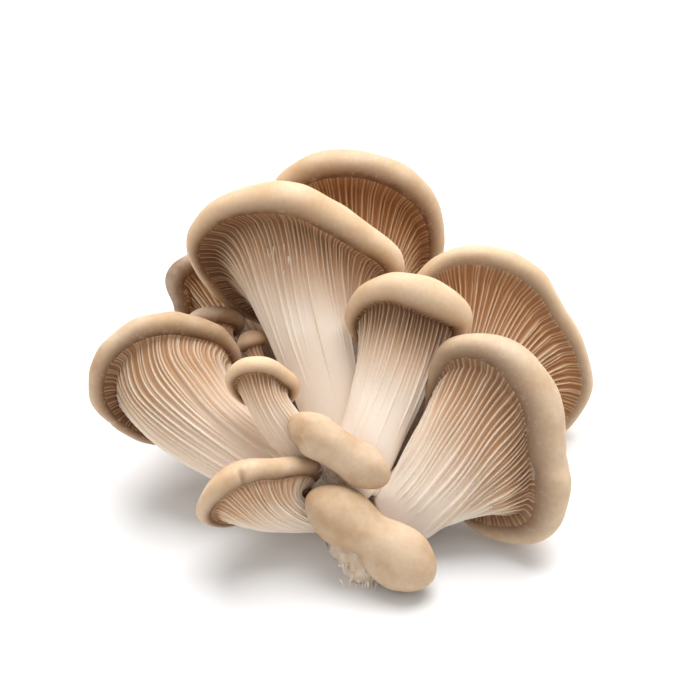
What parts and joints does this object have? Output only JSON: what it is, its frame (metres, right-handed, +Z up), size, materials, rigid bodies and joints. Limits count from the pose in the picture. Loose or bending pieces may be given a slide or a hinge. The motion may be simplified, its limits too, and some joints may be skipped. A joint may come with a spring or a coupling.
{
  "type": "oyster mushroom cluster",
  "caption": "Cluster of fresh oyster mushrooms, gills up and to the front, tan rolled caps on pale stems that flare from one cut butt. It lies on a table.",
  "frame": {"origin": "on the table, under the middle of the cluster's bounding box", "axes": "+X to the right across the cluster's gilled face, +Y away from the butt towards the tall caps, +Z up from the table it lies on"},
  "size_m": [0.1773, 0.1496, 0.1008],
  "materials": {
    "cap_skin": "smooth matte skin, grey tan",
    "pale_flesh": "matte, cream with fine gills",
    "cut_flesh": "torn and cut fibrous flesh"
  },
  "bodies": {
    "root": {"stem_tall_centre": "pale_flesh", "cap_tall_centre": "cap_skin", "stem_back_top": "pale_flesh", "cap_back_top": "cap_skin", "stem_back_right": "pale_flesh", "cap_back_right": "cap_skin", "stem_mid_right": "pale_flesh", "cap_mid_right": "cap_skin", "stem_big_right": "pale_flesh", "cap_big_right": "cap_skin", "stem_big_left": "pale_flesh", "cap_big_left": "cap_skin", "stem_small_left": "pale_flesh", "cap_small_left": "cap_skin", "stem_front_left": "pale_flesh", "cap_front_left": "cap_skin", "stem_front_small": "pale_flesh", "cap_front_small": "cap_skin", "stem_front_foot": "pale_flesh", "cap_front_foot": "cap_skin", "stem_back_left": "pale_flesh", "cap_back_left": "cap_skin", "stem_behind_left": "pale_flesh", "cap_behind_left": "cap_skin", "stem_bud": "pale_flesh", "cap_bud": "cap_skin", "butt": "cut_flesh"}
  },
  "joints": []
}
